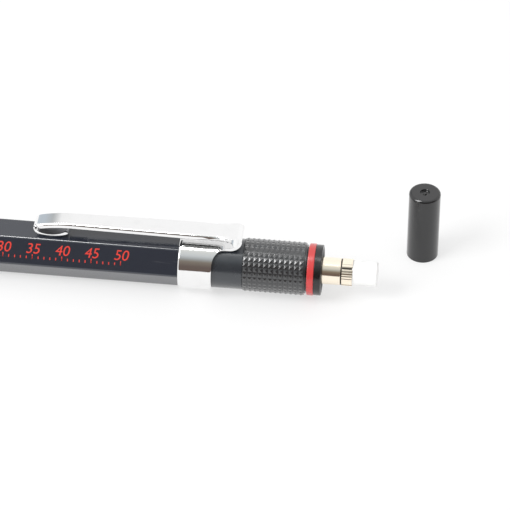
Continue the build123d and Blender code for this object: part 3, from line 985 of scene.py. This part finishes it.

# %% Dark liner of painted shade
liner_lift = 0.01
liner_front, liner_step, liner_rear = groove_front + play, crown_front - play, crown_rear - 0.1
liner_outline = [
    (liner_front, eraser_bore),
    (liner_front, groove_radius + liner_lift),
    (liner_step, groove_radius + liner_lift),
    (liner_step, crown_bore - liner_lift),
    (liner_rear, crown_bore - liner_lift),
    (liner_rear, eraser_bore),
]
# This liner is painted shade at the bottom of the slots and of the groove.
shade_liner = turned("eraser_holder_shade_liner", liner_outline)
finish_piece(shade_liner, slot_black, "eraser_unit", "bright_nickel")

# %% [markdown]
# ### Eraser
# The eraser is a plain stick of vinyl, held with a light press. Use rounds its rear edge first.

# %% Eraser
eraser_outline = [
    (eraser_front, 0),
    (eraser_front, eraser_radius, 0.1),
    (eraser_rear, eraser_radius, 0.3),
    (eraser_rear, 0),
]
turn_piece("eraser", eraser_outline, eraser_white, "eraser_unit", "eraser_white")

# %% [markdown]
# ## Push cap
# The cap stands on its mouth. Its closed end has a dished mark with a nub, where the mould was
# filled, and its edge is well rounded for the thumb.

# %% Push cap
cap_wall, cap_roof, cap_edge = 0.36, 0.9, 0.45
cap_radius = cap_bore + cap_wall
dimple_radius, dimple_depth, nub_radius, nub_height = 0.83, 0.35, 0.3, 0.2
dimple_floor = cap_top - dimple_depth
cap_outline = [
    (cap_foot, cap_bore, 0.08),
    (cap_foot, cap_radius, 0.1),
    (cap_top, cap_radius, cap_edge),
    (cap_top, dimple_radius, 0.08),
    (dimple_floor, dimple_radius, 0.12),
    (dimple_floor, nub_radius, 0.05),
    (dimple_floor + nub_height, nub_radius, 0.12),
    (dimple_floor + nub_height, 0),
    (cap_top - cap_roof, 0),
    (cap_top - cap_roof, cap_bore, 0.3),
]
turn_piece("push_cap", cap_outline, cap_plastic, "cap", "cap_plastic", centre=cap_place)

# %% [markdown]
# ## Pocket clip
# The clip is one strip of sheet. It starts as a band round the barrel, leaves the band's rear edge
# as a tongue, folds over and runs forward as the arm, then droops and curls under at its tip. Its
# middle surface is a grid whose rows follow that path. Solidify gives it the sheet's thickness,
# and a bevel rounds the cut edges.

# %% The strip's sizes
sheet = 0.5
band_gap, band_length = 0.05, 5.7
band_front, band_rear = hex_rear + band_gap, hex_rear + band_gap + band_length
band_middle = band_radius - sheet / 2
arm_middle = clip_top - sheet / 2
crest_radius, fold_angle = 0.5, 80.0
droop_radius, droop_angle = 24.0, 14.0
curl_radius, curl_entry, curl_exit, clip_touch = 5.1, 25.0, 36.0, 0.08
arm_width_front, arm_width_rear, tip_round = 3.2, 4.15, 1.2
tongue_fillet = 1.8

# %% [markdown]
# ### The strip's path
# Two bends have radii that nobody chooses: the rise has to end at the arm's height, and the nose
# has to bring the curl down to just clear of the barrel. Both follow from the others by
# trigonometry. The path itself is then a walk: so far ahead, turning by so much.

# %% Bends that follow from the others
fold_sin, fold_cos = sin(radians(fold_angle)), cos(radians(fold_angle))
droop_sin, droop_cos = sin(radians(droop_angle)), cos(radians(droop_angle))
entry_cos = cos(radians(curl_entry))
lift = arm_middle - band_middle
rise_radius = (lift - crest_radius * (1 + fold_cos)) / (1 - fold_cos)
rise_start = fold_rear - sheet / 2 - crest_radius - (rise_radius - crest_radius) * fold_sin
curl_drop = arm_middle - (flat_height + clip_touch + sheet / 2)
nose_bend = (
    curl_drop - droop_radius * (1 - droop_cos) - curl_radius * (1 - entry_cos)
) / (droop_cos + entry_cos)
droop_start = clip_front + sheet / 2 + nose_bend * (1 - droop_sin) + droop_radius * droop_sin
print(f"rise radius {rise_radius:.2f}, nose bend {nose_bend:.2f}")


# %% The walk along the path
def walk(place, heading, moves):
    """Stations along a path of straight and bent lengths: (x, z, heading) for each step."""
    stops = [(place.x, place.y, heading)]
    for length, bend, steps in moves:
        for step in range(steps):
            turn = radians(bend) / steps
            chord = length / steps
            if turn:
                chord = 2 * (length / radians(bend)) * sin(turn / 2)
            heading += turn / 2
            place = place + Vector((cos(heading), sin(heading))) * chord
            heading += turn / 2
            stops.append((place.x, place.y, heading))
    return stops


def bent(radius, angle, steps):
    """A bent length for walk(), from its radius and its angle in degrees."""
    return radius * radians(angle), angle, steps


# %% Fold and arm
fold = walk(
    Vector((rise_start, band_middle)),
    0.0,
    [bent(rise_radius, fold_angle, 14), bent(crest_radius, 180 - fold_angle, 12)],
)
fold_end_x, fold_end_z, fold_heading = fold[-1]
arm_length, fade_length = fold_end_x - droop_start, 2.4
fade_steps, straight_steps, droop_steps = 12, 36, 12
arm = walk(
    Vector((fold_end_x, fold_end_z)),
    fold_heading,
    [
        (fade_length, 0, fade_steps),
        (arm_length - fade_length, 0, straight_steps),
        bent(droop_radius, droop_angle, droop_steps),
        bent(nose_bend, 180 - droop_angle - curl_entry, 16),
        bent(curl_radius, curl_entry + curl_exit, 20),
    ],
)
nose_step = fade_steps + straight_steps + droop_steps
tip_x, tip_z, _ = arm[-1]
print(f"arm {arm_length:.2f} long, tip at {tip_x:.2f}, {tip_z:.2f}")

# %% [markdown]
# ### The strip's rows
# Each stop on the path gets a row of points across the strip. The arm's long edges are turned
# down, which stiffens it, so its rows follow a flat, a quarter bend and a short flange. Towards
# the fold and round the nose the edges fade out, and there the same points lie flat.

# %% Half a row with its edge turned down
rim_bend, rim_drop = 0.38, 0.8
flat_shares = [0.25, 0.5, 0.72, 0.88, 0.96, 1.0]
bend_shares = [0.25, 0.5, 0.75, 1.0]
flange_shares = [0.5, 1.0]


def row_layout(width):
    """Half a row with its edge turned down: (way along the surface, distance across, drop)."""
    flat, arc, flange = width - rim_bend, rim_bend * pi / 2, rim_drop - rim_bend
    layout = [(flat * share, flat * share, 0.0) for share in flat_shares]
    for share in bend_shares:
        turn = share * pi / 2
        place = flat + rim_bend * sin(turn), rim_bend * (1 - cos(turn))
        layout.append((flat + arc * share, *place))
    for share in flange_shares:
        layout.append((flat + arc + flange * share, width, rim_bend + flange * share))
    return layout


layout = row_layout(arm_width_rear / 2)
half_shares = [way / layout[-1][0] for way, _, _ in layout]
across = [-share for share in half_shares[::-1]] + [0.0] + half_shares
print(len(across), "points in a row")


# %% Rows of the fold and the arm
def half_width(x):
    """Half the width of the strip in plan, at a station."""
    share = (x - clip_front) / (rise_start - clip_front)
    width = arm_width_front / 2 + (arm_width_rear - arm_width_front) / 2 * min(share, 1)
    from_tip = x - clip_front
    if from_tip < tip_round:
        width -= tip_round - sqrt(tip_round**2 - (tip_round - from_tip) ** 2)
    return width


def strip_row(x, z, heading, rim):
    """A row of points across the strip's top side, with its edges turned down where rim is 1."""
    width = half_width(x)
    down = Vector((-sin(heading), cos(heading)))
    middle = Vector((x, z)) - down * sheet / 2
    layout = row_layout(width)
    halves = {-1: [], 1: []}
    for way, y, drop in layout:
        y = rim * y + (1 - rim) * way / layout[-1][0] * width
        place = middle + down * drop * rim
        for side in halves:
            halves[side].append(Vector((place.x, side * y, place.y)) * mm)
    return halves[-1][::-1] + [Vector((middle.x, 0, middle.y)) * mm] + halves[1]


def smooth(share):
    """0 to 1 with a soft start and end."""
    share = min(max(share, 0), 1)
    return share * share * (3 - 2 * share)


rim_fade_length, rim_fade_steps = 8, 5


def rim_share(step, x):
    """1 on the arm, fading out towards the fold and round the nose."""
    from_fold, past_nose = fold_end_x - x, step - nose_step
    return min(smooth(from_fold / rim_fade_length), smooth(1 - past_nose / rim_fade_steps))


# %% Rows of the tongue
inner_radius, tongue_start = band_radius - sheet, 0.6


def tongue_row(x):
    """A row of points across the tongue: round like the band at first, flat at the fold."""
    width = arm_width_rear / 2
    from_band = x - band_rear
    if from_band < tongue_fillet:
        width += tongue_fillet - sqrt(tongue_fillet**2 - (tongue_fillet - from_band) ** 2)
    flatness = smooth((from_band - tongue_start) / (rise_start - band_rear - tongue_start))
    row = []
    for position in across:
        y = position * width
        round_z = sqrt(inner_radius**2 - y * y)
        row.append(Vector((x, y, round_z + (inner_radius - round_z) * flatness)) * mm)
    return row


fillet_rear = band_rear + tongue_fillet
tongue_steps = 6
tongue_stations = [fillet_rear - tongue_fillet * cos(radians(angle)) for angle in range(0, 91, 9)]
for step in range(1, tongue_steps + 1):
    tongue_stations.append(fillet_rear + (rise_start - fillet_rear) * step / tongue_steps)
print(len(tongue_stations), "rows on the tongue")

# %% Rows of the band
root = arm_width_rear / 2 + tongue_fillet
root_angle, band_steps = asin(root / inner_radius), 56
edge_stations = [0, 0.02, 0.07, 0.14, 0.22, 0.3, 0.5]


def band_rows():
    """Rows of the band, with the tongue's points where the tongue leaves it."""
    angles = [asin(share * root / inner_radius) for share in across]
    for step in range(1, band_steps):
        angles.append(root_angle + 2 * (pi - root_angle) * step / band_steps)
    edge = edge_stations[-1]
    middle = [edge + (band_length - 2 * edge) * step / 4 for step in range(1, 4)]
    far_edge = [band_length - station for station in edge_stations[::-1]]
    section = [Vector((0, sin(angle), cos(angle))) * inner_radius for angle in angles]
    return [
        [(point + Vector((band_front + station, 0, 0))) * mm for point in section]
        for station in edge_stations + middle + far_edge
    ]


# %% The clip's grid
def add_grid(built, rows):
    """Joins open rows of points with quads."""
    made = [[built.verts.new(point) for point in row] for row in rows]
    for row, next_row in zip(made, made[1:]):
        for index in range(len(row) - 1):
            built.faces.new((row[index], row[index + 1], next_row[index + 1], next_row[index]))


built = bmesh.new()
add_grid(built, [row + row[:1] for row in band_rows()])
strip = [tongue_row(x) for x in tongue_stations]
strip += [strip_row(x, z, heading, 0.0) for x, z, heading in fold[1:]]
strip += [strip_row(*stop, rim_share(step, stop[0])) for step, stop in enumerate(arm[1:])]
add_grid(built, strip)
bmesh.ops.remove_doubles(built, verts=built.verts, dist=1e-6)
pocket_clip = new_piece("pocket_clip_skin", built, 60)
print("grid of", len(pocket_clip.data.polygons), "faces")

# %% [markdown]
# ### The sheet's thickness
# Solidify needs only the grid and a share of the thickness at each point, held in a vertex
# group. The share falls to about half on the turned-down rims, and along a quarter of an ellipse
# at the band's edges, so that they come out rounded. A Bevel then breaks the cut edges.

# %% Shares of the thickness
band_rounding, tongue_blend = 0.3, 0.7


def edge_share(distance):
    """A quarter of an ellipse: 0 at the edge and 1 at the rounding's end."""
    near = min(max(distance / band_rounding, 0), 1)
    return sqrt(near * (2 - near))


def thickness_share(x, y, z):
    """1 where the sheet has its full thickness, less on the arm's rim and at the band's edges."""
    if z > flat_height + 1:
        return float(x > fold_end_x or abs(y) < half_width(x) - rim_bend)
    if x > band_rear + 0.01 or x < band_front - 0.01:
        return 1.0
    off_tongue = smooth((abs(atan2(y, z)) - root_angle) / tongue_blend)
    front, rear = edge_share(x - band_front), edge_share(band_rear - x)
    return front * (1 - off_tongue * (1 - rear))


# %% Sheet thickness
def thicken(piece, thickness, rim_thickness, edge):
    """Gives the grid the sheet's thickness, and slightly rounded cut edges."""
    top = max(piece.data.polygons, key=lambda face: face.center.z)
    group = piece.vertex_groups.new(name="full")
    for vertex in piece.data.vertices:
        group.add([vertex.index], thickness_share(*(vertex.co / mm)), "REPLACE")
    solid = piece.modifiers.new("sheet", "SOLIDIFY")
    solid.thickness = thickness * mm
    solid.offset = -1 if top.normal.z > 0 else 1
    solid.vertex_group = group.name
    solid.thickness_vertex_group = rim_thickness / thickness
    round_edges = piece.modifiers.new("edges", "BEVEL")
    round_edges.width = edge * mm
    round_edges.segments = 3
    round_edges.limit_method = "ANGLE"
    round_edges.angle_limit = radians(60)
    applied(piece)
    piece.vertex_groups.clear()
    smooth_shading(piece.data, 50)


thicken(pocket_clip, sheet, rim_thickness=0.24, edge=0.11)
finish_piece(pocket_clip, clip_chrome, "pencil", "clip_chrome", "pocket_clip")

# %% [markdown]
# ### The inside in painted shade
# The inside of the curl and the arm's underside above it take a second material: rougher, and
# dark grey as painted shade. Those faces are chosen by where they are and which way they face.

# %% Faces in painted shade
nose_length, hidden_length, curl_height, least_tilt = 0.9, 9, 1.6, 0.3


def out_of_reach(face):
    """True for a face on top of the curl, or under the arm above it, where shade is painted."""
    x, z, upward = face.center.x / mm, face.center.z / mm, face.normal.z
    if x < clip_front + nose_length:
        return False
    if z < flat_height + curl_height:
        return x < tip_x + 0.1 and z > flat_height and upward > least_tilt
    return x < clip_front + hidden_length and upward < -least_tilt


# The curl's inside and the arm's underside get the dark grey, which is painted shade.
pocket_clip.data.materials.append(clip_inside)
for face in pocket_clip.data.polygons:
    face.material_index = int(out_of_reach(face))
print("dull faces:", sum(face.material_index for face in pocket_clip.data.polygons))

# %% [markdown]
# ## Printed scale
# The flat that faces the reader carries a plain millimetre scale in red ink, which is useful on a
# drawing tool: a stroke for each millimetre, a longer one for every fifth, and plain numbers.
# The strokes are arrays of one stroke, and the numbers are text made into a mesh.

# %% The printed flat
scale_zero, scale_marks = 50.0, 50
stroke_width, ink_thickness = 0.16, 0.012
stroke_foot, short_stroke, long_stroke = -1.15, 0.45, 0.75
number_height, number_foot, number_slant = 1.75, -0.25, 0.2

flat_tilt = radians(30)
flat_normal = Vector((0, -cos(flat_tilt), sin(flat_tilt)))
flat_up = Vector((0, sin(flat_tilt), cos(flat_tilt)))
flat_axes = Matrix((Vector((1, 0, 0)), flat_up, flat_normal)).transposed()


def on_flat(along, upward, above):
    """A point on the printed flat, from its place along and across it, in mm."""
    return flat_axes @ Vector((along, upward, flat_height + above)) * mm


# %% Strokes
def stroke(name, height):
    """The first stroke of the scale, a thin slab of ink."""
    half = stroke_width / 2
    sides = [
        (scale_zero - half, stroke_foot),
        (scale_zero + half, stroke_foot),
        (scale_zero + half, stroke_foot + height),
        (scale_zero - half, stroke_foot + height),
    ]
    built = bmesh.new()
    rings = [[on_flat(*side, above) for side in sides] for above in (-0.005, ink_thickness)]
    add_skin(built, rings, wrapped=False)
    return new_piece(name, built)


fine = arrayed(stroke("scale_strokes", short_stroke), red_ink, scale_marks + 1, 1.0)
finish_piece(fine, red_ink, "pencil", "barrel_plastic")
fifth = arrayed(stroke("scale_fifths", long_stroke), red_ink, scale_marks // 5 + 1, 5.0)
finish_piece(fifth, red_ink, "pencil", "barrel_plastic")


# %% Numbers
capital_share = 0.7


def text_mesh(name, words, height, slant=0.0):
    """Flat words as a plain mesh, centred on the origin, with their foot at zero."""
    letters = bpy.data.curves.new(name, "FONT")
    letters.body = words
    letters.align_x = "CENTER"
    letters.size = height * mm / capital_share
    letters.extrude = ink_thickness * mm / 2
    letters.shear = slant
    carrier = bpy.data.objects.new(name, letters)
    bpy.context.scene.collection.objects.link(carrier)
    mesh = evaluated_mesh(carrier)
    bpy.data.objects.remove(carrier)
    return mesh


built = bmesh.new()
for mark in range(0, scale_marks + 1, 5):
    mesh = text_mesh("number", str(mark), number_height, number_slant)
    place = on_flat(scale_zero + mark, number_foot, ink_thickness / 2)
    mesh.transform(Matrix.Translation(place) @ flat_axes.to_4x4())
    built.from_mesh(mesh)
numbers = new_piece("scale_numbers", built, 30)
finish_piece(numbers, red_ink, "pencil", "barrel_plastic")

# %% [markdown]
# ### Grades behind the window
# The sleeve behind the window carries six lead grades, one every sixty degrees. They are made
# flat as text, and then every point is wrapped round the sleeve.

# %% Grades behind the window
grades, grade_height, grade_lift = ["2H", "H", "F", "HB", "B", "2B"], 1.0, 0.003
built = bmesh.new()
for step, grade in enumerate(grades):
    mesh = text_mesh("grade", grade, grade_height)
    for vertex in mesh.vertices:
        x, y, z = vertex.co / mm
        angle = 2 * pi * step / len(grades) + (y - grade_height / 2) / scale_radius
        reach = scale_radius + grade_lift + z
        vertex.co = Vector((window_middle - x, reach * cos(angle), reach * sin(angle))) * mm
    built.from_mesh(mesh)
grade_marks = new_piece("grade_marks", built, 30)
finish_piece(grade_marks, dark_ink, "grade_unit", "scale_plastic")

# %% [markdown]
# ## Inner pieces
# The pieces inside keep the frame's own meshes, because only their size and finish matter: the
# lead, its retainer, the chuck with its ring and housing, the spring and the connector.

# %% Inner pieces
inner_finishes = {
    "lead": lead_grey,
    "spare_leads": lead_grey,
    "lead_retainer": rubber,
    "chuck": brass,
    "clutch_ring": brass,
    "chuck_housing": brass,
    "chuck_connector": inner_plastic,
}
for node, material in inner_finishes.items():
    mesh = frame["nodes"][node].data
    mesh.materials.clear()
    mesh.materials.append(material)
print("inner pieces finished:", len(inner_finishes))

# %% [markdown]
# ### Return spring
# The push shortens the spring: its front end stays on the chuck's housing and its rear end follows
# the connector. So the coil is squashed towards its front end by the push's own stroke. Here a
# copy of the frame's mesh, with its corners merged, stands for the coil and the frame's mesh is
# hidden; the share of its length that the push leaves is printed.

# %% Return spring
spring_front, spring_rear, _ = measure("return_spring")
push = next(j for j in frame["record"]["behaviour"]["joints"] if j["name"] == "push")
push_stroke = push["range_m"][1] / mm
built = bmesh.new()
built.from_mesh(frame["nodes"]["return_spring"].data)
coil = new_piece("return_spring_coil", built)
finish_piece(coil, spring_steel, "pencil", "spring_steel", "return_spring")
kept = 1 - push_stroke / (spring_rear - spring_front)
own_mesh(coil)
print(f"spring {spring_rear - spring_front:.2f} long, kept {kept:.3f} of it when pushed")

# %% [markdown]
# ## Studio
# The pencil lies on a white table. Polished metal and glossy plastic show what is round them, so
# the studio is built for its reflections: lamps where the glints should be, and a room that is
# bright behind and dark towards the viewer, which gives the chrome its contrast.

# %% [markdown]
# ### Table
# The table is a plain sheet. To the camera and in reflections it is mixed with an even white, and
# the rest is lit as paper is, which keeps the pencil's soft shadow.

# %% Table
table_height = cad_box[0].z
table_reach, table_front = 1.5, -0.08
white_share, reflection_boost = 0.6, 0.1


def table_finish():
    """White for the camera and a little brighter in reflections, with the soft shadows kept."""
    finish = Finish("table_white", (0.9, 0.9, 0.9), {"Roughness": 0.6})
    paper = finish.grain(4.0, detail=3.0)
    finish.feed("Base Color", finish.tint(paper * 0.5, (0.88, 0.88, 0.88)))
    camera_ray, glossy_ray, clear_ray = finish.rays("Camera", "Glossy", "Transmission")
    strength = 1.0 + glossy_ray * reflection_boost
    glow = finish.node("ShaderNodeEmission", {}, {"Color": (1, 1, 1, 1), "Strength": strength})
    lit = Value(finish, finish.shader.outputs[0])
    seen = (camera_ray + glossy_ray + clear_ray) * white_share
    mixed = finish.node("ShaderNodeMixShader", {}, {0: seen, 1: lit, 2: glow})
    output = finish.tree.nodes["Material Output"]
    finish.tree.links.new(mixed.socket, output.inputs["Surface"])
    return finish.material


# %% Table top
built = bmesh.new()
west, east = camera_target.x - table_reach, camera_target.x + table_reach
corners = [(west, table_front), (east, table_front), (east, table_reach), (west, table_reach)]
built.faces.new([built.verts.new((x, y, table_height)) for x, y in corners])
table = new_piece("table", built)
table.data.materials.append(table_finish())
table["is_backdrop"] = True
print("table at", round(table_height / mm, 2))

# %% [markdown]
# ### Lamps
# The key lamp, to the left and front, lights the pencil and makes the glints on the grade ring
# and the cap's rim. Two softboxes overhead are only for shine: they draw the line of light along
# the barrel's edge, and Cycles leaves them out of the diffuse light.

# %% Lamps
def softbox(name, offset, size, radiance, for_shine=False):
    """A flat lamp that faces the camera's target, from its offset and size in metres."""
    lamp = bpy.data.lights.new(name, "AREA")
    lamp.shape = "RECTANGLE"
    lamp.size, lamp.size_y = size
    lamp.energy = radiance * pi * size[0] * size[1]
    holder = bpy.data.objects.new(name, lamp)
    bpy.context.scene.collection.objects.link(holder)
    holder.location = camera_target + Vector(offset)
    holder.rotation_euler = (-Vector(offset)).to_track_quat("-Z", "Y").to_euler()
    holder.visible_diffuse = not for_shine
    print(name, round(lamp.energy, 2), "W")


softbox("key", (-0.35, -0.235, 0.43), (0.28, 0.28), 9.0)
softbox("overhead_long", (-0.15, 0.0, 0.60), (0.14, 0.16), 13.0, for_shine=True)
softbox("overhead_short", (-0.18, 0.0, 0.61), (0.10, 0.16), 13.0, for_shine=True)

# %% [markdown]
# ### Room
# The world is drawn by direction. In reflections, the half towards the viewer is a wall that is
# brown and dark low down and pale higher up, with a white screen at its left. The half behind is
# white, apart from a pale blue patch at the left that only the clip's drooping tip catches.
# Diffuse light comes from an even soft white, and the camera sees plain white.

# %% Directions and walls
world = bpy.data.worlds.new("studio")
bpy.context.scene.world = world
world.use_nodes = True
room = Tree(world.node_tree)
direction = room.node("ShaderNodeTexCoord", output="Generated")
toward_x = room.node("ShaderNodeSeparateXYZ", {}, {0: direction})
toward_y, height = toward_x.beside("Y"), toward_x.beside("Z")
toward_left = toward_x * -1.0
front_stops = [
    (0.0, (0.150, 0.115, 0.100)),
    (0.27, (0.156, 0.122, 0.108)),
    (0.54, (0.24, 0.210, 0.175)),
    (0.70, (0.40, 0.42, 0.42)),
    (0.84, (0.62, 0.65, 0.66)),
    (0.97, (0.74, 0.76, 0.74)),
    (1.0, (0.95, 0.96, 0.92)),
]
left_stops = [
    (0.0, (1.12, 1.12, 1.12)),
    (0.24, (1.0, 1.0, 1.0)),
    (0.31, (0.50, 0.52, 0.53)),
    (0.38, (0.55, 0.61, 0.67)),
    (0.62, (0.60, 0.66, 0.72)),
    (0.75, (1.0, 1.0, 1.0)),
]
front_wall = room.node("ShaderNodeValToRGB", {"stops": front_stops}, {0: height})
left_wall = room.node("ShaderNodeValToRGB", {"stops": left_stops}, {0: toward_left})
print("walls of", len(front_stops), "and", len(left_stops), "stops")

# %% The room, for each kind of ray
white, soft_white = (1.0, 1.0, 1.0, 1.0), (0.82, 0.82, 0.82, 1.0)
bright = (1.12, 1.12, 1.12, 1.0)
behind = toward_y.between(-0.22, 0.10)
high_behind = toward_y.between(0.55, 0.70) * height.between(0.38, 0.48)
back_half = room.mix(high_behind, bright, left_wall)
front_half = room.mix(toward_left.between(0.42, 0.62), front_wall, white)
reflected = room.mix(behind, front_half, back_half)
camera_ray, glossy_ray = room.rays("Camera", "Glossy")
shown = room.mix(glossy_ray, room.mix(camera_ray, soft_white, white), reflected)
room.set_socket(world.node_tree.nodes["Background"].inputs["Color"], shown)
bpy.context.scene.view_settings.view_transform = "Standard"
print("room of", len(world.node_tree.nodes), "nodes")

# %% [markdown]
# ## Size
# The dressed pencil should keep the frame's size, so its box is printed in millimetres.

# %% Size
model_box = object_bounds()
for name, low, high in zip("xyz", model_box[0], model_box[1]):
    print(name, round(low / mm, 2), "to", round(high / mm, 2))
